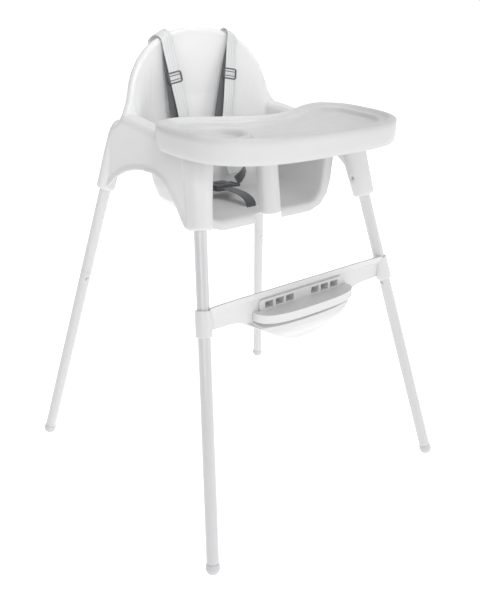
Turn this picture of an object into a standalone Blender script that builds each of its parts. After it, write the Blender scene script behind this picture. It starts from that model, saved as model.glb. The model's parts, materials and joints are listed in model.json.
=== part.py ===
"""Baby high chair: one-piece seat shell on four two-section tube legs, with a
snap-on tray, a clipped foot shelf and a five-point harness.

Frame: metres, +Z up, floor at Z = 0, the chair faces -Y, X = 0 is the mirror
plane and the origin is under the middle of the footprint.
"""
import math

import bmesh
import bpy
from mathutils import Matrix, Vector

# ---------------------------------------------------------------- driving sizes
SIDES = {"left": -1.0, "right": 1.0}

# Leg axes, right-hand leg: (x, y, z) near the floor and near the seat.
LEG_AXIS = {
    "front": (Vector((0.3020, -0.3080, 0.0180)), Vector((0.1805, -0.1176, 0.7500))),
    "rear": (Vector((0.3237, 0.3080, 0.0180)), Vector((0.1763, 0.1349, 0.7500))),
}
TUBE_R = 0.0115
TUBE_BORE_R = 0.0102
SPIGOT_R = 0.0099
SPIGOT_BORE_R = 0.0087
SPIGOT_LENGTH = 0.050
SEAM_Z = 0.4200
TUBE_TOP_Z = 0.6860
GAP = 0.0003

# Foot caps: a dome on a plug, ground flat where it stands.
CAP_DOME_R = 0.0130
CAP_CENTRE_Z = 0.0115
CAP_COLLAR = 0.0090
CAP_PLUG_R = 0.0098
CAP_PLUG_LENGTH = 0.0200

# Spring buttons.
BUTTON_R = 0.0033
BUTTON_HOLE_R = 0.0037
BUTTON_FLANGE_R = 0.0044
BUTTON_FLANGE_T = 0.0012
LOWER_BUTTON_Z = 0.4030
SOCKET_BUTTON_Z = 0.6260
BUTTON_FACING = {"front": (1.0, 0.0), "rear": (0.0, 1.0)}

# Seat shell.
SHELL_T = 0.0036
FLOOR_Z = 0.5750
FRONT_Y = -0.0950
BACKREST_TOP = 0.9000
DOME_HALF_WIDTH = 0.1690
DOME_POWER = 2.2
SIDE_SHARE = 0.42
ARM_Z = 0.7320
ARM_SLOPE = 0.050
ARM_RISE = 0.0070
ARCH_CROWN_Y = -0.0150
ARCH_CROWN_Z = 0.6640
LIP_LENGTH = 0.0200
SOCKET_Z = {"front": 0.5870, "rear": 0.6010}
SOCKET_TOP_Z = {"front": 0.7250, "rear": 0.7380}
SOCKET_BORE_R = TUBE_R + GAP
CROTCH_HALF_WIDTH = 0.0215
CROTCH_LEAN = 0.1300

# Tray, in its own frame: Z = 0 is the crest of the rim.
TRAY_HALF_WIDTH = 0.2380
TRAY_FRONT = 0.1660
TRAY_REAR = 0.1060
TRAY_CENTRE_Y = -0.1120
TRAY_SCOOP = 0.0840
TRAY_SCOOP_HALF = 0.2050
TRAY_PIVOT = Vector((0.0, -0.1500, 0.7560))
TRAY_SLOPE = math.atan(ARM_SLOPE)
TRAY_T = 0.0030
SKIRT_FRONT = 0.0430
SKIRT_REAR = 0.0180

# Footrest.
SLEEVE_R = 0.0152
SLEEVE_Z = (0.4110, 0.4560)
PANEL_Y = -0.2000
PANEL_T = 0.0040
PANEL_TOP = 0.4610
SHELF_HALF = 0.1220
SHELF_Z = (0.4085, 0.4250)
SHELF_FRONT = -0.2460
CLIP_X = (0.0200, 0.0980)
CLIP_Z = (0.4270, 0.4400)
CLIP_DEPTH = 0.0150

# Harness.
STRAP_W = 0.0250
STRAP_T = 0.0016
BUCKLE_CENTRE = Vector((0.0, 0.0550, 0.5960))


# ------------------------------------------------------------------- materials
def material(name, colour, roughness, metallic=0.0):
    """A Principled material with one colour."""
    mat = bpy.data.materials.get(name)
    if mat is None:
        mat = bpy.data.materials.new(name)
        mat.use_nodes = True
        shader = mat.node_tree.nodes["Principled BSDF"]
        shader.inputs["Base Color"].default_value = (*colour, 1.0)
        shader.inputs["Roughness"].default_value = roughness
        shader.inputs["Metallic"].default_value = metallic
        mat.diffuse_color = (*colour, 1.0)
    return mat


def shell_plastic():
    return material("shell_plastic", (0.86, 0.86, 0.87), 0.38)


def tray_plastic():
    return material("tray_plastic", (0.88, 0.88, 0.89), 0.25)


def leg_paint():
    return material("leg_paint", (0.84, 0.84, 0.85), 0.22)


def cap_plastic():
    return material("cap_plastic", (0.78, 0.78, 0.79), 0.45)


def button_steel():
    return material("button_steel", (0.70, 0.70, 0.71), 0.30, 1.0)


def webbing():
    return material("webbing", (0.52, 0.53, 0.55), 0.90)


def buckle_plastic():
    return material("buckle_plastic", (0.30, 0.31, 0.33), 0.42)


# --------------------------------------------------------------- mesh helpers
def clear_scene():
    """Start from an empty scene."""
    for item in list(bpy.data.objects):
        bpy.data.objects.remove(item, do_unlink=True)


def make_object(name, bm, mat, smooth=True):
    """Link a bmesh as a named object, faces turned outwards."""
    bmesh.ops.recalc_face_normals(bm, faces=bm.faces[:])
    mesh = bpy.data.meshes.new(name)
    bm.to_mesh(mesh)
    bm.free()
    mesh.materials.append(mat)
    item = bpy.data.objects.new(name, mesh)
    bpy.context.scene.collection.objects.link(item)
    if smooth:
        mesh.shade_smooth()
        mesh.set_sharp_from_angle(angle=math.radians(35.0))
    return item


def smoothstep(value, low, high):
    share = min(max((value - low) / (high - low), 0.0), 1.0)
    return share * share * (3.0 - 2.0 * share)


def frame_along(direction):
    """Rotation whose local Z is the direction."""
    return Vector(direction).normalized().to_track_quat("Z", "Y").to_matrix()


def turned_mesh(profile, closed, origin, direction, segments=24):
    """A solid of revolution: profile is (radius, height) along the direction."""
    bm = bmesh.new()
    turn = frame_along(direction)
    rings = []
    for radius, height in profile:
        if radius <= 0.0:
            rings.append([bm.verts.new(origin + turn @ Vector((0.0, 0.0, height)))])
            continue
        ring = []
        for index in range(segments):
            angle = 2.0 * math.pi * index / segments
            local = Vector((radius * math.cos(angle), radius * math.sin(angle), height))
            ring.append(bm.verts.new(origin + turn @ local))
        rings.append(ring)
    pairs = list(zip(rings, rings[1:]))
    if closed:
        pairs.append((rings[-1], rings[0]))
    for low, high in pairs:
        for index in range(segments):
            after = (index + 1) % segments
            corners = [low[index % len(low)], low[after % len(low)]]
            corners += [high[after % len(high)], high[index % len(high)]]
            unique = list(dict.fromkeys(corners))
            if len(unique) > 2:
                bm.faces.new(unique)
    return bm


def turned(name, profile, origin, direction, mat, closed=False, segments=24):
    bm = turned_mesh(profile, closed, origin, direction, segments)
    return make_object(name, bm, mat)


def sheet_mesh(rows):
    """A quad sheet through rows of points that all have the same length."""
    bm = bmesh.new()
    grid = [[bm.verts.new(point) for point in row] for row in rows]
    for low, high in zip(grid, grid[1:]):
        for index in range(len(low) - 1):
            bm.faces.new((low[index], low[index + 1], high[index + 1], high[index]))
    return bm


def prism_mesh(outline, low, high, place):
    """Extrude a closed outline of (u, v) from low to high; place maps (u, v, w)."""
    bm = bmesh.new()
    bottom = [bm.verts.new(place(u, v, low)) for u, v in outline]
    top = [bm.verts.new(place(u, v, high)) for u, v in outline]
    bm.faces.new(bottom)
    bm.faces.new(top)
    for index in range(len(outline)):
        after = (index + 1) % len(outline)
        bm.faces.new((bottom[index], bottom[after], top[after], top[index]))
    return bm


def rounded_rectangle(half_u, half_v, radius, steps=4):
    """Outline of a rectangle with round corners, counter-clockwise."""
    outline = []
    for quarter in range(4):
        sign_u = (1.0, -1.0, -1.0, 1.0)[quarter]
        sign_v = (1.0, 1.0, -1.0, -1.0)[quarter]
        for step in range(steps + 1):
            angle = (quarter + step / steps) * math.pi / 2.0
            u = sign_u * (half_u - radius) + radius * math.cos(angle)
            v = sign_v * (half_v - radius) + radius * math.sin(angle)
            outline.append((u, v))
    return outline


def box_mesh(low, high):
    bm = bmesh.new()
    bmesh.ops.create_cube(bm, size=1.0)
    for vert in bm.verts:
        for axis in range(3):
            vert.co[axis] = low[axis] if vert.co[axis] < 0.0 else high[axis]
    return bm


def cutter(name, bm):
    """A guide solid for a Boolean, left out of the finished chair."""
    item = make_object(name, bm, shell_plastic(), smooth=False)
    item.hide_render = True
    item.display_type = "WIRE"
    return item


def boolean(item, tool, operation):
    step = item.modifiers.new(tool.name, "BOOLEAN")
    step.operation = operation
    step.solver = "EXACT"
    step.object = tool


def solidify(item, thickness, offset):
    step = item.modifiers.new("thickness", "SOLIDIFY")
    step.thickness = thickness
    step.offset = offset
    step.use_even_offset = True


def smooth_path(points, steps):
    """Catmull-Rom points through a list of vectors."""
    path = []
    ends = [points[0] * 2.0 - points[1]] + list(points) + [points[-1] * 2.0 - points[-2]]
    for index in range(1, len(ends) - 2):
        p0, p1, p2, p3 = ends[index - 1:index + 3]
        for step in range(steps):
            t = step / steps
            square = t * t
            cube = square * t
            point = (p1 * 2.0 + (p2 - p0) * t + (p0 * 2.0 - p1 * 5.0 + p2 * 4.0 - p3) * square
                     + (p1 * 3.0 - p0 - p2 * 3.0 + p3) * cube) * 0.5
            path.append(point)
    path.append(points[-1].copy())
    return path


def ribbon_mesh(path, widths, width, thickness):
    """A flat strap of rectangular section along a path; widths has its width axes."""
    bm = bmesh.new()
    rings = []
    for index, (point, across) in enumerate(zip(path, widths)):
        before = path[max(index - 1, 0)]
        after = path[min(index + 1, len(path) - 1)]
        tangent = (after - before).normalized()
        side = across - tangent * across.dot(tangent)
        side.normalize()
        normal = tangent.cross(side)
        half_w = side * (width / 2.0)
        half_t = normal * (thickness / 2.0)
        corners = (point + half_w + half_t, point - half_w + half_t,
                   point - half_w - half_t, point + half_w - half_t)
        rings.append([bm.verts.new(corner) for corner in corners])
    bm.faces.new(rings[0])
    bm.faces.new(rings[-1])
    for low, high in zip(rings, rings[1:]):
        for index in range(4):
            after = (index + 1) % 4
            bm.faces.new((low[index], low[after], high[after], high[index]))
    return bm


# ----------------------------------------------------------------------- legs
def mirrored(point, sign):
    return Vector((point.x * sign, point.y, point.z))


def leg_line(end, sign):
    """The leg's lowest axis point and its direction, upwards."""
    low, high = (mirrored(point, sign) for point in LEG_AXIS[end])
    direction = (high - low).normalized()
    start = low + direction * ((CAP_CENTRE_Z - low.z) / direction.z)
    return start, direction


def leg_height(direction, z):
    """Distance along the leg from the cap's centre to a world height."""
    return (z - CAP_CENTRE_Z) / direction.z


def leg_point(end, sign, z):
    start, direction = leg_line(end, sign)
    return start + direction * leg_height(direction, z)


def button_direction(end, sign, direction):
    """The way a spring button points: inwards in front, forwards at the rear."""
    inward, forward = BUTTON_FACING[end]
    facing = Vector((-sign * inward, -forward, 0.0))
    facing -= direction * facing.dot(direction)
    return facing.normalized()


def button_hole(name, origin, facing, reach):
    profile = [(0.0, 0.0), (BUTTON_HOLE_R, 0.0), (BUTTON_HOLE_R, reach), (0.0, reach)]
    return cutter(name, turned_mesh(profile, False, origin, facing, 16))


def build_leg(end, side):
    sign = SIDES[side]
    start, direction = leg_line(end, sign)
    seam = leg_height(direction, SEAM_Z)
    top = leg_height(direction, TUBE_TOP_Z)
    tag = end + "_" + side

    lower = [(TUBE_BORE_R, CAP_COLLAR + GAP), (TUBE_R, CAP_COLLAR + GAP)]
    lower += [(TUBE_R, seam - GAP), (TUBE_BORE_R, seam - GAP)]
    lower_tube = turned("lower_leg_" + tag, lower, start, direction, leg_paint(), True)

    spigot_end = seam - SPIGOT_LENGTH
    upper = [(SPIGOT_BORE_R, spigot_end), (SPIGOT_R, spigot_end), (SPIGOT_R, seam)]
    upper += [(TUBE_R, seam), (TUBE_R, top), (TUBE_BORE_R, top)]
    upper += [(TUBE_BORE_R, seam + 0.006), (SPIGOT_BORE_R, seam + 0.002)]
    upper_tube = turned("upper_leg_" + tag, upper, start, direction, leg_paint(), True)

    facing = button_direction(end, sign, direction)
    lower_at = leg_point(end, sign, LOWER_BUTTON_Z)
    hole = button_hole("hole_lower_" + tag, lower_at, facing, 0.018)
    boolean(lower_tube, hole, "DIFFERENCE")
    boolean(upper_tube, hole, "DIFFERENCE")

    inward = button_direction("front", sign, direction)
    socket_at = leg_point(end, sign, SOCKET_BUTTON_Z)
    socket_hole = button_hole("hole_socket_" + tag, socket_at, inward, 0.040)
    boolean(upper_tube, socket_hole, "DIFFERENCE")

    build_button("leg_button_" + tag, lower_at, facing, 0.0072, 0.0134)
    build_button("socket_button_" + tag, socket_at, inward, 0.0086, 0.0178)
    build_foot_cap("foot_cap_" + tag, start, direction)
    return socket_hole


def build_button(name, origin, facing, flange_at, tip_at):
    """A domed pin with a flange behind the tube wall; its origin is on its axis."""
    profile = [(0.0, -BUTTON_FLANGE_T), (BUTTON_FLANGE_R, -BUTTON_FLANGE_T)]
    profile += [(BUTTON_FLANGE_R, 0.0), (BUTTON_R, 0.0)]
    reach = tip_at - flange_at
    profile += [(BUTTON_R, reach - 0.0020)]
    profile += [(BUTTON_R * 0.80, reach - 0.0008), (BUTTON_R * 0.42, reach - 0.0002), (0.0, reach)]
    bm = turned_mesh(profile, False, Vector((0.0, 0.0, 0.0)), facing, 16)
    item = make_object(name, bm, button_steel())
    item.location = origin + facing * flange_at


def build_foot_cap(name, start, direction):
    """Dome, collar and plug in one piece, ground flat at the floor."""
    profile = [(0.0, -CAP_DOME_R)]
    for step in range(1, 8):
        angle = math.radians(90.0 * step / 8.0)
        profile.append((CAP_DOME_R * math.sin(angle), -CAP_DOME_R * math.cos(angle)))
    profile += [(CAP_DOME_R, 0.0), (TUBE_R + 0.0008, CAP_COLLAR - 0.0008), (TUBE_R, CAP_COLLAR)]
    profile += [(CAP_PLUG_R, CAP_COLLAR), (CAP_PLUG_R, CAP_COLLAR + CAP_PLUG_LENGTH - 0.0015)]
    profile += [(CAP_PLUG_R - 0.0015, CAP_COLLAR + CAP_PLUG_LENGTH)]
    profile += [(0.0, CAP_COLLAR + CAP_PLUG_LENGTH)]
    cap = turned(name, profile, start, direction, cap_plastic())
    low = Vector((start.x - 0.03, start.y - 0.03, -0.03))
    high = Vector((start.x + 0.03, start.y + 0.03, 0.0))
    boolean(cap, cutter("ground_" + name, box_mesh(low, high)), "DIFFERENCE")


# ----------------------------------------------------------------- seat shell
def arm_height(y):
    """Height of the arm's top: a gentle slope that lifts towards the backrest."""
    return ARM_Z + ARM_SLOPE * (y + 0.15) + ARM_RISE * smoothstep(y, 0.0, 0.10)


def tub_plan(share, half_width, back_y, turn_y, power=2.5):
    """One level of the tub seen from above: a straight side, then a round back."""
    if share <= SIDE_SHARE:
        return half_width, FRONT_Y + (turn_y - FRONT_Y) * share / SIDE_SHARE
    angle = (share - SIDE_SHARE) / (1.0 - SIDE_SHARE) * math.pi / 2.0
    x = half_width * max(math.cos(angle), 0.0) ** (2.0 / power)
    y = turn_y + (back_y - turn_y) * math.sin(angle) ** (2.0 / power)
    return x, y


def dome_angle(share):
    return max((share - SIDE_SHARE) / (1.0 - SIDE_SHARE), 0.0) * math.pi / 2.0


def dome_rim(share, grow=0.0, back=0.0):
    """The backrest's rim: a dome in front view; grow and back offset it."""
    angle = dome_angle(share)
    base = arm_height(0.10)
    across = max(math.cos(angle), 0.0) ** (2.0 / DOME_POWER)
    up = max(math.sin(angle), 0.0) ** (2.0 / DOME_POWER)
    x = (DOME_HALF_WIDTH + grow) * across
    z = base + (BACKREST_TOP - base + grow) * up
    y = 0.1010 + 0.0210 * up + back
    return Vector((x, y, z))


def arch_height(y):
    """Lower edge of the side skirt: an arch that falls faster towards the front."""
    reach = y - ARCH_CROWN_Y
    if reach > 0.0:
        return ARCH_CROWN_Z - min(1.7 * reach ** 2 + 22.0 * reach ** 4, 0.060)
    return ARCH_CROWN_Z - min(4.0 * reach ** 2 + 190.0 * reach ** 4, 0.078)


def skirt_mesh(sign):
    """The side wall under an arm, between its two leg sockets, with an arch below."""
    bm = bmesh.new()
    columns = 26
    falls = (0.0, 0.12, 0.35, 0.62, 0.84, 0.95, 1.0)
    outer = []
    inner = []
    for column in range(columns + 1):
        side = column / columns
        for fall in falls:
            start_y = -0.1240 - 0.0320 * fall
            end_y = 0.1360 + 0.0290 * fall
            y = start_y + (end_y - start_y) * side
            top = arm_height(y) - 0.010 - 0.022 * smoothstep(y, 0.090, 0.150)
            z = top + (arch_height(y) - top) * fall
            x = 0.2030 + 0.010 * fall + 0.006 * smoothstep(-y, -0.02, 0.12)
            flare = 0.0030 * smoothstep(fall, 0.84, 1.0)
            outer.append(bm.verts.new((sign * (x + flare), y, z)))
            inner.append(bm.verts.new((sign * (x + flare - SHELL_T), y, z)))
    high = len(falls)
    for column in range(columns):
        for row in range(high - 1):
            corner = column * high + row
            for grid in (outer, inner):
                bm.faces.new((grid[corner], grid[corner + 1],
                              grid[corner + high + 1], grid[corner + high]))
        for row in (0, high - 1):
            corner = column * high + row
            bm.faces.new((outer[corner], inner[corner],
                          inner[corner + high], outer[corner + high]))
    for column in (0, columns):
        for row in range(high - 1):
            corner = column * high + row
            bm.faces.new((outer[corner], outer[corner + 1], inner[corner + 1], inner[corner]))
    return bm


def tub_profile(share):
    """Points from the middle of the seat floor outwards, over the rim and down."""
    wrap = smoothstep(share, SIDE_SHARE - 0.01, SIDE_SHARE + 0.08)
    spine_y = FRONT_Y + (0.025 - FRONT_Y) * share
    points = [Vector((0.0, spine_y, FLOOR_Z))]
    levels = [
        (0.060, 0.048, 0.020, 0.000),
        (0.112, 0.082, 0.028, 0.000),
        (0.130, 0.102, 0.040, 0.006),
        (0.142, 0.116, 0.046, 0.020),
        (0.149, 0.126, 0.052, 0.045),
        (0.153, 0.134, 0.060, 0.085),
    ]
    for half_width, back_y, turn_y, lift in levels:
        x, y = tub_plan(share, half_width, back_y, turn_y)
        points.append(Vector((x, y, FLOOR_Z + lift)))

    side_x, side_y = tub_plan(share, 0.157, 0.140, 0.078)
    side = Vector((side_x, side_y, arm_height(side_y) - 0.022))
    low = points[-1]
    rim_inner = dome_rim(share, -0.008)
    back = low.lerp(rim_inner, 0.50) + Vector((0.0, 0.010 * math.sin(dome_angle(share)), 0.0))
    points.append(side.lerp(back, wrap))

    side_y = tub_plan(share, 0.159, 0.14, 0.092)[1]
    side = Vector((0.1605, side_y, arm_height(side_y) - 0.008))
    points.append(side.lerp(dome_rim(share, -0.007, 0.002), wrap))
    side = Vector((0.1670, side_y, arm_height(side_y)))
    points.append(side.lerp(dome_rim(share, 0.000, 0.000), wrap))

    along = min(share / SIDE_SHARE, 1.0)
    side_y = FRONT_Y - 0.02 + (0.102 - FRONT_Y + 0.02) * along
    side = Vector((0.1930, side_y, arm_height(side_y) - 0.001))
    points.append(side.lerp(dome_rim(share, 0.006, 0.003), wrap))
    side_y += 0.005 * along
    side = Vector((0.2010, side_y, arm_height(side_y) - 0.007))
    points.append(side.lerp(dome_rim(share, 0.0078, 0.010), wrap))
    side_y += 0.006 * along
    side = Vector((0.2040, side_y, arm_height(side_y) - 0.018))
    points.append(side.lerp(dome_rim(share, 0.0060, 0.018), wrap))
    return points


def front_lip(profile):
    """Rows that roll the tub's front edge outwards, floor and walls alike."""
    rows = []
    for forward, outward in ((0.0080, 1.00), (0.0070, 0.55), (0.0048, 0.14)):
        row = []
        for index, point in enumerate(profile):
            before = profile[max(index - 1, 0)]
            after = profile[min(index + 1, len(profile) - 1)]
            tangent = after - before
            normal = Vector((tangent.z, 0.0, -tangent.x)).normalized()
            reach = LIP_LENGTH * outward * (1.0, 0.5, 0.0)[min(max(index - 6, 0), 2)]
            row.append(point + normal * reach + Vector((0.0, -forward, 0.0)))
        rows.append(row)
    return rows


def shell_rows():
    """Every row of the shell's sheet, from its left front round to its right."""
    stations = [0.0, 0.05, 0.11, 0.18, 0.25, 0.32, 0.37, 0.40, 0.42, 0.435, 0.455, 0.48]
    stations += [0.51, 0.55, 0.60, 0.66, 0.72, 0.78, 0.84, 0.90, 0.95, 1.0]
    half = [tub_profile(share) for share in stations]
    half = front_lip(half[0]) + half
    mirror = [[Vector((-p.x, p.y, p.z)) for p in row] for row in half]
    return mirror + half[-2::-1]


def socket_mesh(end, sign):
    """Outer body of a leg socket, round the leg's axis."""
    start, direction = leg_line(end, sign)
    low = leg_height(direction, SOCKET_Z[end])
    high = leg_height(direction, SOCKET_TOP_Z[end])
    if end == "front":
        radii = [(0.0, 0.0206), (0.02, 0.0215), (0.45, 0.0240), (0.80, 0.0272), (0.92, 0.0262)]
        radii += [(1.0, 0.0200)]
    else:
        radii = [(0.0, 0.0182), (0.02, 0.0188), (0.50, 0.0192), (0.76, 0.0190), (0.86, 0.0175)]
        radii += [(0.94, 0.0140), (1.0, 0.0080)]
    profile = [(0.0, low)]
    profile += [(radius, low + (high - low) * share) for share, radius in radii]
    profile += [(0.0, high)]
    return turned_mesh(profile, False, start, direction, 28)


def crotch_post_mesh():
    outline = []
    for step in range(13):
        angle = math.pi * step / 12.0
        u = CROTCH_HALF_WIDTH * math.cos(angle)
        outline.append((u, -0.1000 - 0.0140 * math.sin(angle)))
    outline += [(-CROTCH_HALF_WIDTH, -0.0860), (CROTCH_HALF_WIDTH, -0.0860)]
    return prism_mesh(outline, FLOOR_Z - 0.0020, 0.7060,
                      lambda u, v, w: Vector((u, v + CROTCH_LEAN * (w - 0.6500), w)))


def front_bar_mesh():
    """The bar that joins the arms under the tray, bowed forwards."""
    path = []
    for step in range(13):
        x = -0.1780 + 0.3560 * step / 12.0
        path.append(Vector((x, -0.1080 - 0.020 * (x / 0.178) ** 2, 0.7000)))
    return ribbon_mesh(path, [Vector((0.0, 1.0, 0.0))] * len(path), 0.020, 0.016)


def build_seat_shell(socket_holes):
    bm = sheet_mesh(shell_rows())
    bmesh.ops.remove_doubles(bm, verts=bm.verts[:], dist=0.00005)
    shell = make_object("seat_shell", bm, shell_plastic())
    solidify(shell, SHELL_T, -1.0)
    for side, sign in SIDES.items():
        for end in ("front", "rear"):
            tag = end + "_" + side
            boolean(shell, cutter("socket_" + tag, socket_mesh(end, sign)), "UNION")
    for side, sign in SIDES.items():
        boolean(shell, cutter("skirt_" + side, skirt_mesh(sign)), "UNION")
    boolean(shell, cutter("crotch_post", crotch_post_mesh()), "UNION")
    boolean(shell, cutter("front_bar", front_bar_mesh()), "UNION")
    for side, sign in SIDES.items():
        for end in ("front", "rear"):
            start, direction = leg_line(end, sign)
            low = leg_height(direction, SOCKET_Z[end]) - 0.030
            high = leg_height(direction, TUBE_TOP_Z) + GAP
            profile = [(0.0, low), (SOCKET_BORE_R, low), (SOCKET_BORE_R, high), (0.0, high)]
            tag = end + "_" + side
            bore = cutter("bore_" + tag, turned_mesh(profile, False, start, direction, 24))
            boolean(shell, bore, "DIFFERENCE")
    for hole in socket_holes:
        boolean(shell, hole, "DIFFERENCE")
    notch = box_mesh((-0.0330, -0.1260, 0.5300), (0.0330, FRONT_Y - 0.0012, FLOOR_Z - 0.0022))
    boolean(shell, cutter("front_notch", notch), "DIFFERENCE")
    slot = box_mesh((-0.0150, -0.0520, 0.5600), (0.0150, -0.0440, 0.5900))
    boolean(shell, cutter("crotch_slot", slot), "DIFFERENCE")
    return shell


# ----------------------------------------------------------------------- tray
def tray_outline(count=72):
    """Outline from above: a wide oval whose child side is scooped out."""
    outline = []
    for index in range(count):
        angle = 2.0 * math.pi * index / count
        cosine = math.cos(angle)
        sine = math.sin(angle)
        front = sine < 0.0
        power = 3.1 if front else 2.8
        reach = TRAY_FRONT if front else TRAY_REAR
        x = TRAY_HALF_WIDTH * math.copysign(abs(cosine) ** (2.0 / power), cosine)
        y = TRAY_CENTRE_Y + reach * math.copysign(abs(sine) ** (2.0 / power), sine)
        if not front and abs(x) < TRAY_SCOOP_HALF:
            y -= TRAY_SCOOP * (1.0 - (x / TRAY_SCOOP_HALF) ** 2) ** 2
        outline.append(Vector((x, y - TRAY_PIVOT.y, 0.0)))
    return outline


def inset_outline(outline, distance):
    """The outline moved inwards by a distance."""
    moved = []
    count = len(outline)
    for index, point in enumerate(outline):
        tangent = outline[(index + 1) % count] - outline[index - 1]
        normal = Vector((-tangent.y, tangent.x, 0.0)).normalized()
        moved.append(point + normal * distance)
    return moved


def skirt_depth(y):
    return SKIRT_FRONT + (SKIRT_REAR - SKIRT_FRONT) * smoothstep(y, 0.070, 0.125)


def build_tray():
    outline = tray_outline()
    rings = [(0.0030, -1.0), (0.0000, -0.55), (0.0012, -0.0070), (0.0050, -0.0018)]
    rings += [(0.0100, 0.0000), (0.0160, -0.0020), (0.0220, -0.0080), (0.0290, -0.0130)]
    rings += [(0.0360, -0.0148)]
    bm = bmesh.new()
    grid = []
    for inset, z in rings:
        row = []
        for point in inset_outline(outline, inset):
            height = z * skirt_depth(point.y) if z < -0.5 else z
            row.append(bm.verts.new((point.x, point.y, height)))
        grid.append(row)
    for low, high in zip(grid, grid[1:]):
        for index in range(len(low)):
            after = (index + 1) % len(low)
            bm.faces.new((low[index], low[after], high[after], high[index]))
    bm.faces.new(grid[-1])
    tray = make_object("tray", bm, tray_plastic())
    solidify(tray, TRAY_T, -1.0)
    for side, sign in SIDES.items():
        low = Vector((min(sign * 0.176, sign * 0.184), -0.020, -0.0220))
        high = Vector((max(sign * 0.176, sign * 0.184), 0.120, -0.0162))
        boolean(tray, cutter("tray_rib_" + side, box_mesh(low, high)), "UNION")
    tray.location = TRAY_PIVOT
    tray.rotation_euler = (TRAY_SLOPE, 0.0, 0.0)
    for item in bpy.data.objects:
        if item.name.startswith("tray_rib"):
            item.parent = tray
    return tray


# ------------------------------------------------------------------- footrest
def panel_bottom(x):
    """Lower edge of the panel: arms, then a deep lobe in the middle."""
    wide = abs(x)
    arm = 0.4150 + 0.005 * smoothstep(wide, 0.185, 0.215)
    lobe = 0.3520 + 0.063 * smoothstep(wide, 0.020, 0.175)
    return min(arm, lobe)


def panel_front(x, z):
    """Front face of the panel: the lobe bellies forward under the shelf."""
    belly = 0.034 * max(1.0 - (abs(x) / 0.140) ** 2.4, 0.0) ** 0.6
    under = 1.0 - smoothstep(z, 0.3960, 0.4040)
    curl = 0.016 * smoothstep(-z, -0.385, -0.350)
    ridge = 0.004 * smoothstep(z, 0.446, 0.451)
    return PANEL_Y - belly * under + min(curl, belly) * under - ridge


def sleeve_mesh(sign):
    start, direction = leg_line("front", sign)
    low = leg_height(direction, SLEEVE_Z[0])
    high = leg_height(direction, SLEEVE_Z[1])
    profile = [(0.0, low), (SLEEVE_R - 0.0006, low), (SLEEVE_R, low + 0.0010)]
    profile += [(SLEEVE_R, high - 0.0010), (SLEEVE_R - 0.0006, high), (0.0, high)]
    return turned_mesh(profile, False, start, direction, 28)


def sleeve_bore_mesh(sign):
    start, direction = leg_line("front", sign)
    low = leg_height(direction, SLEEVE_Z[0]) - 0.010
    high = leg_height(direction, SLEEVE_Z[1]) + 0.010
    radius = TUBE_R + GAP
    profile = [(0.0, low), (radius, low), (radius, high), (0.0, high)]
    return turned_mesh(profile, False, start, direction, 24)


def build_footrest_panel():
    heights = [0.0, 0.22, 0.45, 0.68, 0.90]
    upper = [0.3965, 0.3985, 0.4010, 0.4040, 0.4200, 0.4440, 0.4465, 0.4500, PANEL_TOP]
    rows = []
    count = 36
    for step in range(count + 1):
        x = -0.2240 + 0.4480 * step / count
        bottom = panel_bottom(x)
        bend = min(0.3950, bottom + 0.9 * (PANEL_TOP - bottom))
        row = []
        for share in heights:
            z = bottom + (max(bend, bottom + 0.004) - bottom) * share / 0.90
            row.append(z)
        floor = row[-1]
        row += [max(z, floor + 0.0012 * (index + 1)) for index, z in enumerate(upper)]
        lean = 0.170 * (abs(x) / 0.230) ** 8
        rows.append([Vector((x, panel_front(x, z) + lean * (0.4335 - z), z)) for z in row])
    panel = make_object("footrest_panel", sheet_mesh(rows), shell_plastic())
    solidify(panel, PANEL_T, -1.0)
    for side, sign in SIDES.items():
        boolean(panel, cutter("sleeve_" + side, sleeve_mesh(sign)), "UNION")
    for side, sign in SIDES.items():
        boolean(panel, cutter("sleeve_bore_" + side, sleeve_bore_mesh(sign)), "DIFFERENCE")
        low_x, high_x = sorted((sign * (CLIP_X[0] - 0.0008), sign * (CLIP_X[1] + 0.0008)))
        window = box_mesh((low_x, PANEL_Y - 0.010, CLIP_Z[0] - 0.0018),
                          (high_x, PANEL_Y + 0.020, CLIP_Z[1] + 0.0018))
        boolean(panel, cutter("clip_window_" + side, window), "DIFFERENCE")
    return panel


def shelf_outline(count=28):
    outline = []
    depth = PANEL_Y - 0.0006 - SHELF_FRONT
    for step in range(count + 1):
        angle = math.pi * step / count
        cosine = math.cos(angle)
        x = SHELF_HALF * math.copysign(abs(cosine) ** (2.0 / 3.0), cosine)
        y = PANEL_Y - 0.0006 - depth * math.sin(angle) ** (2.0 / 3.0)
        outline.append((x, y))
    return outline


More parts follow.
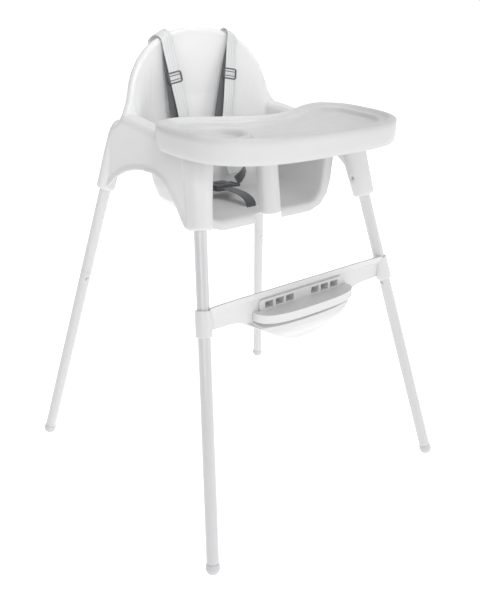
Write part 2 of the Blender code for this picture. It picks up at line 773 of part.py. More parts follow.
def build_foot_shelf():
    bm = prism_mesh(shelf_outline(), SHELF_Z[0], SHELF_Z[1], lambda u, v, w: Vector((u, v, w)))
    shelf = make_object("foot_shelf", bm, shell_plastic())
    flange = prism_mesh([(u, v + 0.4345) for u, v in rounded_rectangle(0.1080, 0.0105, 0.006)],
                        PANEL_Y - 0.0036, PANEL_Y - 0.0006, lambda u, v, w: Vector((u, w, v)))
    boolean(shelf, cutter("shelf_flange", flange), "UNION")
    for side, sign in SIDES.items():
        low_x, high_x = sorted((sign * CLIP_X[0], sign * CLIP_X[1]))
        low = (low_x, PANEL_Y - 0.0020, CLIP_Z[0] - 0.0012)
        high = (high_x, PANEL_Y + CLIP_DEPTH, CLIP_Z[1] + 0.0012)
        boolean(shelf, cutter("shelf_clip_" + side, box_mesh(low, high)), "UNION")
    pitch = (CLIP_X[1] - CLIP_X[0]) / 3.0
    for side, sign in SIDES.items():
        for index in range(3):
            near = sign * (CLIP_X[0] + pitch * index + 0.0030)
            far = sign * (CLIP_X[0] + pitch * (index + 1) - 0.0030)
            low = (min(near, far), PANEL_Y - 0.0100, CLIP_Z[0])
            high = (max(near, far), PANEL_Y + CLIP_DEPTH - 0.0015, CLIP_Z[1])
            slot = cutter("shelf_slot_%s_%d" % (side, index), box_mesh(low, high))
            boolean(shelf, slot, "DIFFERENCE")
    return shelf


# -------------------------------------------------------------------- harness
def build_strap(name, points, widths, width=STRAP_W, steps=5):
    path = smooth_path(points, steps)
    axes = smooth_path(widths, steps)
    return make_object(name, ribbon_mesh(path, axes, width, STRAP_T), webbing(), smooth=False)


def shoulder_points(sign):
    right = [
        Vector((0.0900, 0.1560, 0.8300)),
        Vector((0.0885, 0.1535, 0.8620)),
        Vector((0.0865, 0.1520, 0.8870)),
        Vector((0.0845, 0.1340, 0.8985)),
        Vector((0.0815, 0.1160, 0.8900)),
        Vector((0.0786, 0.1134, 0.8710)),
        Vector((0.0750, 0.1110, 0.8500)),
        Vector((0.0690, 0.1070, 0.8145)),
        Vector((0.0630, 0.1030, 0.7790)),
        Vector((0.0534, 0.0966, 0.7220)),
        Vector((0.0465, 0.0870, 0.6750)),
        Vector((0.0430, 0.0740, 0.6370)),
        Vector((0.0420, 0.0630, 0.6140)),
    ]
    return [mirrored(point, sign) for point in right]


def build_adjuster(side):
    """A slide adjuster: two bars in front of the strap and one behind it."""
    sign = SIDES[side]
    points = shoulder_points(sign)
    centre = points[7]
    along = (points[6] - points[8]).normalized()
    across = Vector((1.0, 0.0, 0.0))
    across = (across - along * across.dot(along)).normalized()
    outward = across.cross(along)
    if outward.y > 0.0:
        across = -across
        outward = -outward
    turn = Matrix((across, along, outward)).transposed()

    def place(u, v, w):
        return turn @ Vector((u, v, w))

    ring = prism_mesh(rounded_rectangle(0.0175, 0.0115, 0.003), -0.0022, 0.0022, place)
    item = make_object("strap_adjuster_" + side, ring, buckle_plastic())
    window = prism_mesh(rounded_rectangle(0.0135, 0.0080, 0.001, 2), -0.0060, 0.0060, place)
    boolean(item, cutter("adjuster_window_" + side, window), "DIFFERENCE")
    channel = prism_mesh([(-0.0135, -0.02), (0.0135, -0.02), (0.0135, 0.02), (-0.0135, 0.02)],
                         -0.0060, 0.0012, place)
    boolean(item, cutter("adjuster_channel_" + side, channel), "DIFFERENCE")
    bar = prism_mesh([(-0.0150, -0.0025), (0.0150, -0.0025), (0.0150, 0.0025), (-0.0150, 0.0025)],
                     -0.0022, -0.0012, place)
    boolean(item, cutter("adjuster_bar_" + side, bar), "UNION")
    item.location = centre
    for tool in ("adjuster_window_", "adjuster_channel_", "adjuster_bar_"):
        bpy.data.objects[tool + side].location = centre
    return item


def build_buckle():
    centre = BUCKLE_CENTRE

    def place(u, v, w):
        return centre + Vector((u, v, w))

    body = prism_mesh(rounded_rectangle(0.0220, 0.0200, 0.007), -0.0060, 0.0060, place)
    item = make_object("buckle_body", body, buckle_plastic())
    well = prism_mesh(rounded_rectangle(0.0090, 0.0080, 0.004), 0.0005, 0.0100, place)
    boolean(item, cutter("button_well", well), "DIFFERENCE")
    throat = prism_mesh([(-0.040, -0.0083), (0.040, -0.0083), (0.040, 0.0083), (-0.040, 0.0083)],
                        -0.0028, -0.0002, place)
    boolean(item, cutter("tongue_throat", throat), "DIFFERENCE")

    button = prism_mesh(rounded_rectangle(0.0085, 0.0075, 0.0036), 0.0, 0.0032,
                        lambda u, v, w: Vector((u, v, w)))
    press = make_object("buckle_button", button, buckle_plastic())
    press.location = centre + Vector((0.0, 0.0, 0.0040))

    for side, sign in SIDES.items():
        blade = [(0.0020, -0.0078), (0.0300, -0.0078), (0.0300, 0.0078), (0.0020, 0.0078)]
        blade = [(u * sign, v) for u, v in blade]
        tongue = make_object("buckle_tongue_" + side,
                             prism_mesh(blade, -0.0024, -0.0006, place), buckle_plastic())
        loop = [(u + sign * 0.0340, v) for u, v in rounded_rectangle(0.0085, 0.0165, 0.003)]
        boolean(tongue, cutter("tongue_loop_" + side, prism_mesh(loop, -0.0030, 0.0012, place)),
                "UNION")
        slit = [(u + sign * 0.0360, v) for u, v in rounded_rectangle(0.0030, 0.0132, 0.001, 2)]
        boolean(tongue, cutter("tongue_slit_" + side, prism_mesh(slit, -0.0100, 0.0100, place)),
                "DIFFERENCE")


def build_harness():
    across = Vector((1.0, 0.0, 0.0))
    for side, sign in SIDES.items():
        tilt = [Vector((1.0, 0.0, -sign * drop)) for drop in (0.30, 0.38, 0.46, 0.48, 0.44, 0.20)]
        points = shoulder_points(sign)
        tilt += [across] * (len(points) - len(tilt))
        build_strap("shoulder_strap_" + side, points, tilt)
        build_adjuster(side)
        waist = [
            Vector((0.0450, 0.0560, 0.6010)),
            Vector((0.0600, 0.0590, 0.6080)),
            Vector((0.0780, 0.0700, 0.6150)),
            Vector((0.0930, 0.0850, 0.6180)),
        ]
        build_strap("waist_strap_" + side, [mirrored(point, sign) for point in waist],
                    [Vector((0.0, 0.25, 1.0))] * len(waist), STRAP_W * 0.8)
    crotch = [
        Vector((0.0, -0.0480, 0.5680)),
        Vector((0.0, -0.0470, 0.5790)),
        Vector((0.0, -0.0380, 0.5880)),
        Vector((0.0, -0.0200, 0.5935)),
        Vector((0.0, 0.0050, 0.5955)),
        Vector((0.0, 0.0340, 0.5960)),
    ]
    build_strap("crotch_strap", crotch, [across] * len(crotch))
    build_buckle()


def main():
    clear_scene()
    socket_holes = []
    for end in ("front", "rear"):
        for side in SIDES:
            socket_holes.append(build_leg(end, side))
    build_seat_shell(socket_holes)
    build_tray()
    build_footrest_panel()
    build_foot_shelf()
    build_harness()


main()
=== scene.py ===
"""Looks for the baby high chair: seat, tray, webbing, adjusters, materials, light and camera."""
import json
import math

import bmesh
import bpy
from mathutils import Matrix, Vector
from mathutils.kdtree import KDTree


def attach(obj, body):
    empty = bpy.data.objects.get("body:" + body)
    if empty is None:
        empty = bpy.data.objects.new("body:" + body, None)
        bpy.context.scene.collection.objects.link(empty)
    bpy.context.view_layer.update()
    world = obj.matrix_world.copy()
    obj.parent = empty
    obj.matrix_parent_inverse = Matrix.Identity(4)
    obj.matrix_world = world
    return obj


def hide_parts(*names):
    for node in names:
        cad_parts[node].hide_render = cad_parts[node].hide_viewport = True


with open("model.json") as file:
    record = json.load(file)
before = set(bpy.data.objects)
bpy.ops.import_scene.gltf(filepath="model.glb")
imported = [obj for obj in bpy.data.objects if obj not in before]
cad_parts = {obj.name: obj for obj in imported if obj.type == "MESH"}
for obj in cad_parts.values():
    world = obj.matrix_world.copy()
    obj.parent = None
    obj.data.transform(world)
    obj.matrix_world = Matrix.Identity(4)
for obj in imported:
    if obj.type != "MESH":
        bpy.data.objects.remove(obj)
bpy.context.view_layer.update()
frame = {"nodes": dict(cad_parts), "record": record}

NODES = frame["nodes"]
SIDES = {"left": -1.0, "right": 1.0}

# ------------------------------------------------------------------ materials
PEEL_SCALE = 900.0


def new_material(name):
    mat = bpy.data.materials.new(name)
    mat.use_nodes = True
    return mat, mat.node_tree.nodes, mat.node_tree.links


def noise(nodes, links, coords, scale, detail=2.0, rough=0.5):
    tex = nodes.new("ShaderNodeTexNoise")
    tex.inputs["Scale"].default_value = scale
    tex.inputs["Detail"].default_value = detail
    tex.inputs["Roughness"].default_value = rough
    links.new(coords, tex.inputs["Vector"])
    return tex


def ramp(nodes, links, source, low, high, colour_low, colour_high):
    """Map a value between two limits to two colours."""
    item = nodes.new("ShaderNodeValToRGB")
    item.color_ramp.elements[0].position = low
    item.color_ramp.elements[1].position = high
    item.color_ramp.elements[0].color = (*colour_low, 1.0)
    item.color_ramp.elements[1].color = (*colour_high, 1.0)
    links.new(source, item.inputs["Fac"])
    return item


def span(nodes, links, source, low, high, out_low, out_high):
    item = nodes.new("ShaderNodeMapRange")
    item.inputs["From Min"].default_value = low
    item.inputs["From Max"].default_value = high
    item.inputs["To Min"].default_value = out_low
    item.inputs["To Max"].default_value = out_high
    links.new(source, item.inputs["Value"])
    return item


def bump(nodes, links, height, distance, strength=1.0, after=None):
    item = nodes.new("ShaderNodeBump")
    item.inputs["Distance"].default_value = distance
    item.inputs["Strength"].default_value = strength
    links.new(height, item.inputs["Height"])
    if after is not None:
        links.new(after.outputs["Normal"], item.inputs["Normal"])
    return item


def moulded(name, colour, rough, grain, coat=0.0, grain_scale=PEEL_SCALE):
    """Injection-moulded or painted surface: fine grain, flow unevenness, rubbed edges."""
    mat, nodes, links = new_material(name)
    shader = nodes["Principled BSDF"]
    coords = nodes.new("ShaderNodeTexCoord").outputs["Object"]
    broad = noise(nodes, links, coords, 9.0, 3.0)
    dark = tuple(c * 0.965 for c in colour)
    tone = ramp(nodes, links, broad.outputs["Fac"], 0.35, 0.65, dark, colour)
    edge = nodes.new("ShaderNodeNewGeometry")
    rub = span(nodes, links, edge.outputs["Pointiness"], 0.50, 0.58, 0.0, 0.35)
    worn = nodes.new("ShaderNodeMix")
    worn.data_type = "RGBA"
    links.new(rub.outputs["Result"], worn.inputs["Factor"])
    links.new(tone.outputs["Color"], worn.inputs["A"])
    worn.inputs["B"].default_value = (*(min(c * 1.04, 1.0) for c in colour), 1.0)
    links.new(worn.outputs["Result"], shader.inputs["Base Color"])
    fine = noise(nodes, links, coords, grain_scale, 2.0)
    patch = noise(nodes, links, coords, 35.0, 4.0)
    gloss = span(nodes, links, patch.outputs["Fac"], 0.3, 0.7, rough - 0.05, rough + 0.06)
    links.new(gloss.outputs["Result"], shader.inputs["Roughness"])
    first = bump(nodes, links, fine.outputs["Fac"], grain)
    flow = noise(nodes, links, coords, 45.0, 1.0)
    second = bump(nodes, links, flow.outputs["Fac"], grain * 2.5, 0.6, first)
    links.new(second.outputs["Normal"], shader.inputs["Normal"])
    shader.inputs["Coat Weight"].default_value = coat
    shader.inputs["Coat Roughness"].default_value = 0.12
    shader.inputs["IOR"].default_value = 1.49
    return mat


def painted_tube(name):
    """Powder-coated steel tube with fine orange peel and faint handling marks."""
    mat = moulded(name, (0.60, 0.60, 0.61), 0.24, 0.00004, 0.5, 600.0)
    nodes, links = mat.node_tree.nodes, mat.node_tree.links
    shader = nodes["Principled BSDF"]
    coords = nodes.new("ShaderNodeTexCoord").outputs["Object"]
    stretch = nodes.new("ShaderNodeMapping")
    stretch.inputs["Scale"].default_value = (400.0, 400.0, 9.0)
    links.new(coords, stretch.inputs["Vector"])
    marks = noise(nodes, links, stretch.outputs["Vector"], 1.0, 5.0, 0.7)
    scuff = span(nodes, links, marks.outputs["Fac"], 0.62, 0.75, 0.20, 0.42)
    links.new(scuff.outputs["Result"], shader.inputs["Roughness"])
    return mat


def plated_steel(name):
    mat, nodes, links = new_material(name)
    shader = nodes["Principled BSDF"]
    shader.inputs["Metallic"].default_value = 1.0
    coords = nodes.new("ShaderNodeTexCoord").outputs["Object"]
    fine = noise(nodes, links, coords, 1500.0, 3.0)
    tone = ramp(nodes, links, fine.outputs["Fac"], 0.3, 0.7, (0.55, 0.55, 0.56), (0.72, 0.72, 0.73))
    links.new(tone.outputs["Color"], shader.inputs["Base Color"])
    gloss = span(nodes, links, fine.outputs["Fac"], 0.3, 0.7, 0.22, 0.38)
    links.new(gloss.outputs["Result"], shader.inputs["Roughness"])
    return mat


def woven(name, colour):
    """Webbing: u runs across the strap from 0 to 1, v is the length along it in metres."""
    mat, nodes, links = new_material(name)
    shader = nodes["Principled BSDF"]
    uv = nodes.new("ShaderNodeUVMap")
    uv.uv_map = "strap"
    parts = nodes.new("ShaderNodeSeparateXYZ")
    links.new(uv.outputs["UV"], parts.inputs["Vector"])

    def maths(operation, left, right=None):
        item = nodes.new("ShaderNodeMath")
        item.operation = operation
        for socket, value in zip(item.inputs, (left, right)):
            if value is None:
                continue
            if isinstance(value, (int, float)):
                socket.default_value = value
            else:
                links.new(value, socket)
        return item.outputs["Value"]

    across = maths("MULTIPLY", parts.outputs["X"], 2.0 * math.pi * 14.0)
    along = maths("MULTIPLY", parts.outputs["Y"], 2.0 * math.pi / 0.0022)
    ribs = maths("ABSOLUTE", maths("SINE", across))
    shift = maths("MULTIPLY", maths("SIGN", maths("SINE", across)), math.pi / 2.0)
    picks = maths("ABSOLUTE", maths("SINE", maths("ADD", maths("MULTIPLY", along, 0.5), shift)))
    weave = maths("MULTIPLY", ribs, maths("ADD", maths("MULTIPLY", picks, 0.7), 0.3))
    coords = nodes.new("ShaderNodeTexCoord").outputs["Object"]
    fibre = noise(nodes, links, coords, 1800.0, 4.0, 0.7)
    stripe = maths("ABSOLUTE", maths("SINE", maths("MULTIPLY", parts.outputs["X"], math.pi * 4.0)))
    cloth = maths("ADD", maths("MULTIPLY", weave, 0.5), maths("MULTIPLY", fibre.outputs["Fac"], 0.25))
    blend = maths("ADD", cloth, maths("MULTIPLY", stripe, 0.25))
    dark = tuple(c * 0.62 for c in colour)
    tone = ramp(nodes, links, blend, 0.10, 0.80, dark, colour)
    links.new(tone.outputs["Color"], shader.inputs["Base Color"])
    shader.inputs["Roughness"].default_value = 0.78
    shader.inputs["Sheen Weight"].default_value = 0.35
    shader.inputs["Sheen Roughness"].default_value = 0.45
    relief = bump(nodes, links, blend, 0.00025)
    links.new(relief.outputs["Normal"], shader.inputs["Normal"])
    return mat


SHELL = moulded("shell_plastic_look", (0.68, 0.68, 0.685), 0.34, 0.00003)
TRAY = moulded("tray_plastic_look", (0.59, 0.59, 0.595), 0.34, 0.00002)
TUBE = painted_tube("leg_paint_look")
CAP = moulded("cap_plastic_look", (0.60, 0.60, 0.61), 0.48, 0.00006)
STEEL = plated_steel("button_steel_look")
BUCKLE = moulded("buckle_plastic_look", (0.10, 0.102, 0.108), 0.42, 0.00005)
WEBBING = woven("webbing_look", (0.66, 0.665, 0.67))
# Dark grey webbing, partly its own colour and partly painted shade: far darker than the light
# webbing, standing in for the shade beside the shoulder straps and under the tray.
SHADED_DARK_WEBBING = woven("dark_webbing_painted_shade_look", (0.11, 0.112, 0.118))
SLOTS = {"shell_plastic": SHELL, "tray_plastic": TRAY, "leg_paint": TUBE, "cap_plastic": CAP,
         "button_steel": STEEL, "webbing": WEBBING, "buckle_plastic": BUCKLE}


def dress_cad_nodes():
    """Every carried-over CAD node takes the look of its slot."""
    for entry in frame["record"]["subparts"]:
        item = NODES[entry["node"]]
        look = SLOTS[entry["material_slot"]]
        item.data.materials.clear()
        item.data.materials.append(look)


# ---------------------------------------------------------------- mesh helpers
def add_piece(name, mesh, look, body="frame"):
    item = bpy.data.objects.new(name, mesh)
    bpy.context.scene.collection.objects.link(item)
    mesh.materials.clear()
    mesh.materials.append(look)
    mesh.shade_smooth()
    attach(item, body)
    return item


def apply_modifiers(item):
    """Bake the modifier stack into the mesh."""
    graph = bpy.context.evaluated_depsgraph_get()
    final = bpy.data.meshes.new_from_object(item.evaluated_get(graph))
    final.name = item.name
    item.modifiers.clear()
    old = item.data
    item.data = final
    bpy.data.meshes.remove(old)
    final.shade_smooth()


# ------------------------------------------------------------------ seat shell
SEAT_VOXEL = 0.0016
SEAT_SMOOTHING = 26


def build_seat():
    source = NODES["seat_shell"].data.copy()
    seat = add_piece("seat_moulding", source, SHELL)
    remesh = seat.modifiers.new("remesh", "REMESH")
    remesh.mode = "VOXEL"
    remesh.voxel_size = SEAT_VOXEL
    smooth = seat.modifiers.new("smooth", "SMOOTH")
    smooth.factor = 0.5
    smooth.iterations = SEAT_SMOOTHING
    apply_modifiers(seat)
    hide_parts("seat_shell")


# ------------------------------------------------------------------------ tray
TRAY_HALF_WIDTH = 0.2380
TRAY_FRONT = 0.1660
TRAY_REAR = 0.1060
TRAY_CENTRE_Y = -0.1120
TRAY_SCOOP = 0.0840
TRAY_SCOOP_HALF = 0.2050
TRAY_PIVOT = Vector((0.0, -0.1500, 0.7560))
TRAY_SLOPE = math.atan(0.050)
TRAY_T = 0.0030
SKIRT_FRONT = 0.0430
SKIRT_REAR = 0.0180
SKIRT_RINGS = ((0.0030, 1.0), (0.0012, 0.985), (0.0006, 0.80), (0.0, 0.55), (0.0002, 0.22))
LEDGE_Z = -0.0060
BASIN_Z = -0.0138
CUP_CENTRE = Vector((-0.1720, -0.0150, 0.0))
CUP_R = 0.0430
CREST_WIDTH = 0.0090
CREST_DROP = 0.0042
LEDGE_START = 0.0120
LEDGE_END = 0.0210
BASIN_INSET = 0.0330
CUP_MARGIN = 0.0140
BASIN_WALL = 0.0055
CUP_WALL = 0.0060
RIDGE_HEIGHT = 0.0022
RIDGE_HALF = 0.0070


def smoothstep(value, low, high):
    share = min(max((value - low) / (high - low), 0.0), 1.0)
    return share * share * (3.0 - 2.0 * share)


def tray_outline(count=360):
    """Outline from above: a wide oval whose child side is scooped out."""
    outline = []
    for index in range(count):
        angle = 2.0 * math.pi * index / count
        cosine = math.cos(angle)
        sine = math.sin(angle)
        front = sine < 0.0
        power = 3.1 if front else 2.8
        reach = TRAY_FRONT if front else TRAY_REAR
        x = TRAY_HALF_WIDTH * math.copysign(abs(cosine) ** (2.0 / power), cosine)
        y = TRAY_CENTRE_Y + reach * math.copysign(abs(sine) ** (2.0 / power), sine)
        if not front and abs(x) < TRAY_SCOOP_HALF:
            y -= TRAY_SCOOP * (1.0 - (x / TRAY_SCOOP_HALF) ** 2) ** 2
        outline.append(Vector((x, y - TRAY_PIVOT.y, 0.0)))
    return even_spacing(outline)


def even_spacing(outline):
    """The same closed outline with its points at equal distances."""
    count = len(outline)
    lengths = [0.0]
    for index in range(count):
        lengths.append(lengths[-1] + (outline[(index + 1) % count] - outline[index]).length)
    spaced = []
    place = 0
    for index in range(count):
        target = lengths[-1] * index / count
        while lengths[place + 1] < target:
            place += 1
        share = (target - lengths[place]) / (lengths[place + 1] - lengths[place])
        spaced.append(outline[place].lerp(outline[(place + 1) % count], share))
    return spaced


def inset_outline(outline, distance):
    moved = []
    count = len(outline)
    for index, point in enumerate(outline):
        tangent = outline[(index + 3) % count] - outline[index - 3]
        moved.append(point + Vector((-tangent.y, tangent.x, 0.0)).normalized() * distance)
    return moved


def tray_height(point, depth):
    """Height of the tray's top, from a point and its distance inside the outline."""
    if depth < CREST_WIDTH:
        return -CREST_DROP * (1.0 - depth / CREST_WIDTH) ** 2.2
    height = LEDGE_Z * smoothstep(depth, LEDGE_START, LEDGE_END)
    cup = (point - CUP_CENTRE).length
    basin = min(depth - BASIN_INSET, cup - CUP_R - CUP_MARGIN)
    height += (BASIN_Z - LEDGE_Z) * smoothstep(basin, 0.0, BASIN_WALL)
    height += (BASIN_Z - LEDGE_Z) * smoothstep(CUP_R - cup, 0.0, CUP_WALL)
    nearness = RIDGE_HALF - abs(cup - CUP_R - RIDGE_HALF)
    ridge = RIDGE_HEIGHT * smoothstep(nearness, 0.0, 0.0060)
    height += ridge * smoothstep(depth, 0.020, 0.032)
    return height


def build_tray():
    outline = tray_outline()
    tree = KDTree(len(outline))
    for index, point in enumerate(outline):
        tree.insert(point, index)
    tree.balance()
    bm = bmesh.new()
    rows = []
    for inset, share in SKIRT_RINGS:
        row = []
        for edge, point in zip(outline, inset_outline(outline, inset)):
            skirt = SKIRT_FRONT + (SKIRT_REAR - SKIRT_FRONT) * smoothstep(edge.y, 0.060, 0.112)
            drop = -CREST_DROP - (skirt - CREST_DROP) * share
            row.append(bm.verts.new((point.x, point.y, drop)))
        rows.append(row)
    inset = 0.0008
    while inset < 0.0450:
        ring = inset_outline(outline, inset)
        rows.append([bm.verts.new((p.x, p.y, tray_height(p, inset))) for p in ring])
        inset += 0.0012 if inset < 0.010 else 0.0022
    centre = Vector((0.0, -0.0350, 0.0))
    inner_rings = 70
    for step in range(1, inner_rings):
        row = []
        for point in ring:
            inner = point.lerp(centre, step / inner_rings)
            depth = tree.find(inner)[2]
            row.append(bm.verts.new((inner.x, inner.y, tray_height(inner, depth))))
        rows.append(row)
    for low, high in zip(rows, rows[1:]):
        for index in range(len(low)):
            after = (index + 1) % len(low)
            bm.faces.new((low[index], low[after], high[after], high[index]))
    bm.faces.new(rows[-1])
    turn = Matrix.Translation(TRAY_PIVOT) @ Matrix.Rotation(TRAY_SLOPE, 4, "X")
    bmesh.ops.transform(bm, matrix=turn, verts=bm.verts[:])
    bmesh.ops.recalc_face_normals(bm, faces=bm.faces[:])
    mesh = bpy.data.meshes.new("tray_moulding")
    bm.to_mesh(mesh)
    bm.free()
    tray = add_piece("tray_moulding", mesh, TRAY, "tray")
    wall = tray.modifiers.new("wall", "SOLIDIFY")
    wall.thickness = TRAY_T
    wall.offset = -1.0
    apply_modifiers(tray)
    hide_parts("tray")


# --------------------------------------------------------------------- webbing
STRAP_W = 0.0250
STRAP_T = 0.0015
RIPPLE_HEIGHT = 0.00018
RIPPLE_LENGTH = 0.011
FRAME_STEPS = 64
BAR_STEPS = 12
ADJUSTER_HALF_X = 0.0152
ADJUSTER_HALF_Y = 0.0098
ADJUSTER_CORNER = 0.0038
WIRE_HALF_WIDTH = 0.0016
WIRE_HALF_T = 0.0022
BAR_OFFSET = 0.0042
BAR_RADIUS = 0.0008
BAR_LIFT = 0.0012


def smooth_path(points, steps):
    """Catmull-Rom points through a list of vectors."""
    path = []
    ends = [points[0] * 2.0 - points[1]] + list(points) + [points[-1] * 2.0 - points[-2]]
    for index in range(1, len(ends) - 2):
        p0, p1, p2, p3 = ends[index - 1:index + 3]
        for step in range(steps):
            t = step / steps
            point = (p1 * 2.0 + (p2 - p0) * t + (p0 * 2.0 - p1 * 5.0 + p2 * 4.0 - p3) * t * t
                     + (p1 * 3.0 - p0 - p2 * 3.0 + p3) * t * t * t) * 0.5
            path.append(point)
    path.append(points[-1].copy())
    return path


def webbing_strap(name, points, widths, look, replaced=(), width=STRAP_W, steps=14):
    """A strap with thinned selvedges, a slight ripple and its own weave coordinates."""
    path = smooth_path(points, steps)
    axes = smooth_path(widths, steps)
    half_t = STRAP_T / 2.0
    section = []
    across_steps = 12
    for index in range(across_steps + 1):
        share = index / across_steps
        edge = min(share, 1.0 - share) * 2.0
        lift = half_t * (0.35 + 0.65 * smoothstep(edge, 0.0, 0.22))
        section.append((share - 0.5, lift, share))
    for index in range(across_steps, -1, -1):
        place, lift, share = section[index]
        section.append((place, -lift, share))
    bm = bmesh.new()
    uv_layer = bm.loops.layers.uv.new("strap")
    rings = []
    length = 0.0
    for index, (point, across) in enumerate(zip(path, axes)):
        before = path[max(index - 1, 0)]
        after = path[min(index + 1, len(path) - 1)]
        if index:
            length += (point - path[index - 1]).length
        tangent = (after - before).normalized()
        side = (across - tangent * across.dot(tangent)).normalized()
        normal = tangent.cross(side)
        ripple = RIPPLE_HEIGHT * math.sin(length / RIPPLE_LENGTH)
        ring = []
        for place, lift, share in section:
            spot = point + side * (place * width) + normal * (lift + ripple)
            ring.append((bm.verts.new(spot), share, length))
        rings.append(ring)
    for low, high in zip(rings, rings[1:]):
        for index in range(len(low)):
            after = (index + 1) % len(low)
            corners = (low[index], low[after], high[after], high[index])
            face = bm.faces.new([corner[0] for corner in corners])
            for loop, corner in zip(face.loops, corners):
                loop[uv_layer].uv = (corner[1], corner[2])
    for ring in (rings[0], rings[-1]):
        face = bm.faces.new([corner[0] for corner in ring])
        for loop, corner in zip(face.loops, ring):
            loop[uv_layer].uv = (corner[1], corner[2])
    bmesh.ops.recalc_face_normals(bm, faces=bm.faces[:])
    mesh = bpy.data.meshes.new(name)
    bm.to_mesh(mesh)
    bm.free()
    strap = add_piece(name, mesh, look)
    if replaced:
        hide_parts(*replaced)


def rounded_frame(bm, turn, half_x, half_y, corner, wire, flat):
    """A closed loop of flattened bar that follows a rounded rectangle."""
    rings = []
    for index in range(FRAME_STEPS):
        angle = 2.0 * math.pi * index / FRAME_STEPS
        out = Vector((math.cos(angle), math.sin(angle), 0.0))
        core_x = math.copysign(half_x - corner, out.x)
        core_y = math.copysign(half_y - corner, out.y)
        core = Vector((core_x, core_y, 0.0))
        middle = core + out * corner
        ring = []
        for step in range(BAR_STEPS):
            turn_angle = 2.0 * math.pi * step / BAR_STEPS
            lift = Vector((0.0, 0.0, math.sin(turn_angle) * flat))
            ring.append(bm.verts.new(turn @ (middle + out * math.cos(turn_angle) * wire + lift)))
        rings.append(ring)
    for index, ring in enumerate(rings):
        after = rings[(index + 1) % len(rings)]
        for step in range(BAR_STEPS):
            up = (step + 1) % BAR_STEPS
            bm.faces.new((ring[step], after[step], after[up], ring[up]))


def round_bar(bm, turn, half_length, place_y, radius, lift):
    """A straight round bar with closed ends, across the frame."""
    rings = []
    for place_x in (-half_length, half_length):
        ring = []
        for step in range(BAR_STEPS):
            angle = 2.0 * math.pi * step / BAR_STEPS
            spot_y = place_y + math.cos(angle) * radius
            spot_z = lift + math.sin(angle) * radius
            ring.append(bm.verts.new(turn @ Vector((place_x, spot_y, spot_z))))
        rings.append(ring)
    for step in range(BAR_STEPS):
        up = (step + 1) % BAR_STEPS
        bm.faces.new((rings[0][step], rings[1][step], rings[1][up], rings[0][up]))
    bm.faces.new(rings[0])
    bm.faces.new(rings[1])


def build_adjuster(side, centre, along, across):
    """Three-bar slide that the webbing threads through."""
    axis_y = along.normalized()
    axis_x = (across - axis_y * across.dot(axis_y)).normalized()
    axis_z = axis_x.cross(axis_y)
    turn = Matrix.Translation(centre) @ Matrix((axis_x, axis_y, axis_z)).transposed().to_4x4()
    bm = bmesh.new()
    rounded_frame(bm, turn, ADJUSTER_HALF_X, ADJUSTER_HALF_Y, ADJUSTER_CORNER,
                  WIRE_HALF_WIDTH, WIRE_HALF_T)
    for place in (-BAR_OFFSET, BAR_OFFSET):
        round_bar(bm, turn, ADJUSTER_HALF_X, place, BAR_RADIUS, BAR_LIFT)
    bmesh.ops.recalc_face_normals(bm, faces=bm.faces[:])
    mesh = bpy.data.meshes.new("adjuster")
    bm.to_mesh(mesh)
    bm.free()
    piece = add_piece("adjuster_slide_" + side, mesh, BUCKLE, "adjuster_" + side)
    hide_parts("strap_adjuster_" + side)


def mirrored(point, sign):
    return Vector((point.x * sign, point.y, point.z))


def build_harness():
    across = Vector((1.0, 0.0, 0.0))
    shoulder = [
        Vector((0.0900, 0.1560, 0.8300)),
        Vector((0.0885, 0.1535, 0.8620)),
        Vector((0.0865, 0.1520, 0.8870)),
        Vector((0.0845, 0.1340, 0.8985)),
        Vector((0.0815, 0.1160, 0.8900)),
        Vector((0.0786, 0.1134, 0.8710)),
        Vector((0.0750, 0.1110, 0.8500)),
        Vector((0.0690, 0.1070, 0.8145)),
        Vector((0.0630, 0.1030, 0.7790)),
        Vector((0.0534, 0.0966, 0.7220)),
        Vector((0.0465, 0.0870, 0.6750)),
        Vector((0.0430, 0.0740, 0.6370)),
        Vector((0.0420, 0.0630, 0.6140)),
    ]
    for side, sign in SIDES.items():
        tilt = [Vector((1.0, 0.0, -sign * drop)) for drop in (0.30, 0.38, 0.46, 0.48, 0.44, 0.20)]
        tilt += [across] * (len(shoulder) - len(tilt))
        points = [mirrored(point, sign) for point in shoulder]
        webbing_strap("shoulder_webbing_" + side, points, tilt, WEBBING, ["shoulder_strap_" + side])
        build_adjuster(side, points[7], points[6] - points[8], across)
        # Dark strip beside each shoulder strap: a second ply in the dark webbing, partly a real ply
        # and partly painted shade where the strap shades the backrest.
        second = []
        for share, point in zip((0.0, 0.25, 0.50, 0.72, 1.0, 1.15), points[5:11]):
            second.append(point + Vector((-0.0175 * share, 0.0035 + 0.0060 * share, 0.0)))
        webbing_strap("strap_ply_painted_shade_" + side, second, [across] * len(second), SHADED_DARK_WEBBING, (),
                      STRAP_W * 0.80)
        waist = [
            Vector((0.0450, 0.0560, 0.6010)),
            Vector((0.0600, 0.0590, 0.6080)),
            Vector((0.0780, 0.0700, 0.6150)),
            Vector((0.0930, 0.0850, 0.6180)),
        ]
        webbing_strap("waist_webbing_" + side, [mirrored(point, sign) for point in waist],
                      [Vector((0.0, 0.25, 1.0))] * len(waist), SHADED_DARK_WEBBING,
                      ["waist_strap_" + side], STRAP_W * 0.8)
    # Crotch strap in the dark webbing: its darkness is partly painted shade under the tray.
    crotch = [
        Vector((0.0, -0.0480, 0.5680)),
        Vector((0.0, -0.0470, 0.5790)),
        Vector((0.0, -0.0380, 0.5880)),
        Vector((0.0, -0.0200, 0.5935)),
        Vector((0.0, 0.0050, 0.5955)),
        Vector((0.0, 0.0340, 0.5960)),
    ]
    webbing_strap("crotch_webbing", crotch, [across] * len(crotch), SHADED_DARK_WEBBING, ["crotch_strap"])


# ------------------------------------------------------------ light and camera
FLAG_AXIS = (-0.7777, 0.6286, 0.0)
FLAG_STRENGTH = 0.30
OVERHEAD_STRENGTH = 0.66
KEY_POWER = 7.0
TOP_POWER = 15.0
LOW_POWER = 2.5
FILL_POWER = 40.0


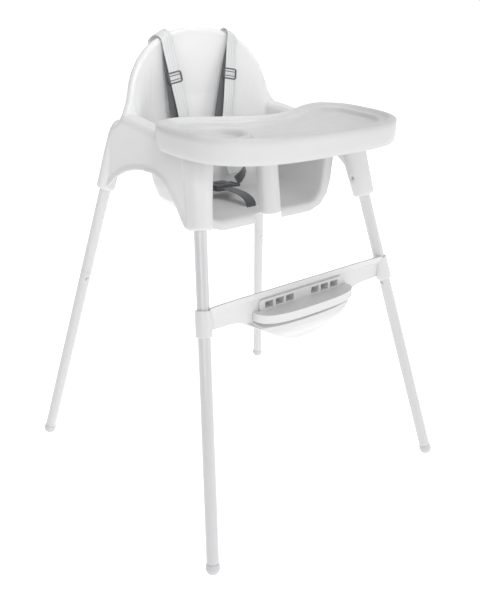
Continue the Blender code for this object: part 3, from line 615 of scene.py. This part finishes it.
def build_stage():
    mesh = bpy.data.meshes.new("floor")
    bm = bmesh.new()
    bmesh.ops.create_grid(bm, x_segments=4, y_segments=4, size=60.0)
    bm.to_mesh(mesh)
    bm.free()
    floor = bpy.data.objects.new("floor", mesh)
    bpy.context.scene.collection.objects.link(floor)
    mat, nodes, links = new_material("floor_look")
    shader = nodes["Principled BSDF"]
    coords = nodes.new("ShaderNodeTexCoord").outputs["Object"]
    soft = noise(nodes, links, coords, 3.0)
    tone = ramp(nodes, links, soft.outputs["Fac"], 0.3, 0.7, (0.95, 0.95, 0.95), (0.96, 0.96, 0.96))
    links.new(tone.outputs["Color"], shader.inputs["Base Color"])
    shader.inputs["Roughness"].default_value = 0.9
    shader.inputs["Emission Color"].default_value = (1.0, 1.0, 1.0, 1.0)
    shader.inputs["Emission Strength"].default_value = 0.66
    mesh.materials.append(mat)


def aim_light(name, light, place, target):
    item = bpy.data.objects.new(name, light)
    item.location = place
    item.rotation_euler = (Vector(target) - Vector(place)).to_track_quat("-Z", "Y").to_euler()
    bpy.context.scene.collection.objects.link(item)


def area_light(name, place, target, sides, power):
    light = bpy.data.lights.new(name, "AREA")
    light.shape = "RECTANGLE"
    light.size, light.size_y = sides
    light.energy = power
    aim_light(name, light, place, target)


def build_lights():
    """A white studio with a dimmer flag on one side, so that round tubes keep their edges."""
    world = bpy.data.worlds.new("studio")
    world.use_nodes = True
    nodes, links = world.node_tree.nodes, world.node_tree.links
    back = nodes["Background"]
    back.inputs["Color"].default_value = (1.0, 1.0, 1.0, 1.0)
    ray = nodes.new("ShaderNodeTexCoord").outputs["Generated"]
    sideways = nodes.new("ShaderNodeVectorMath")
    sideways.operation = "DOT_PRODUCT"
    sideways.inputs[1].default_value = FLAG_AXIS
    links.new(ray, sideways.inputs[0])
    dimmed = span(nodes, links, sideways.outputs["Value"], 0.35, 0.75, 1.0, FLAG_STRENGTH)
    parts = nodes.new("ShaderNodeSeparateXYZ")
    links.new(ray, parts.inputs["Vector"])
    overhead = span(nodes, links, parts.outputs["Z"], 0.05, 0.45, 1.02, OVERHEAD_STRENGTH)
    level = nodes.new("ShaderNodeMath")
    level.operation = "MULTIPLY"
    links.new(dimmed.outputs["Result"], level.inputs[0])
    links.new(overhead.outputs["Result"], level.inputs[1])
    links.new(level.outputs["Value"], back.inputs["Strength"])
    bpy.context.scene.world = world
    area_light("key", (-1.5, -1.5, 1.5), (0.0, 0.0, 0.5), (0.45, 2.2), KEY_POWER)
    area_light("top", (0.5, 0.5, 2.8), (0.0, 0.0, 0.5), (1.4, 1.4), TOP_POWER)
    area_light("low", (1.0, -1.7, 0.7), (0.0, -0.1, 0.45), (0.8, 0.8), LOW_POWER)
    spot = bpy.data.lights.new("fill", "SPOT")
    spot.energy = FILL_POWER
    spot.spot_size = math.radians(26.0)
    spot.spot_blend = 0.8
    spot.shadow_soft_size = 0.22
    aim_light("fill", spot, (-0.40, -0.85, 1.45), (0.0, 0.14, 0.79))
    bpy.context.scene.view_settings.view_transform = "Standard"


def build_camera():
    data = bpy.data.cameras.new("camera")
    data.lens = 43.18
    data.sensor_width = 36.0
    data.sensor_fit = "AUTO"
    item = bpy.data.objects.new("camera", data)
    item.location = (-0.903, -1.129, 0.944)
    item.rotation_euler = (math.radians(90.0 - 22.17), 0.0, math.radians(-38.95))
    bpy.context.scene.collection.objects.link(item)
    bpy.context.scene.camera = item


dress_cad_nodes()
build_seat()
build_tray()
build_harness()
build_stage()
build_lights()
build_camera()
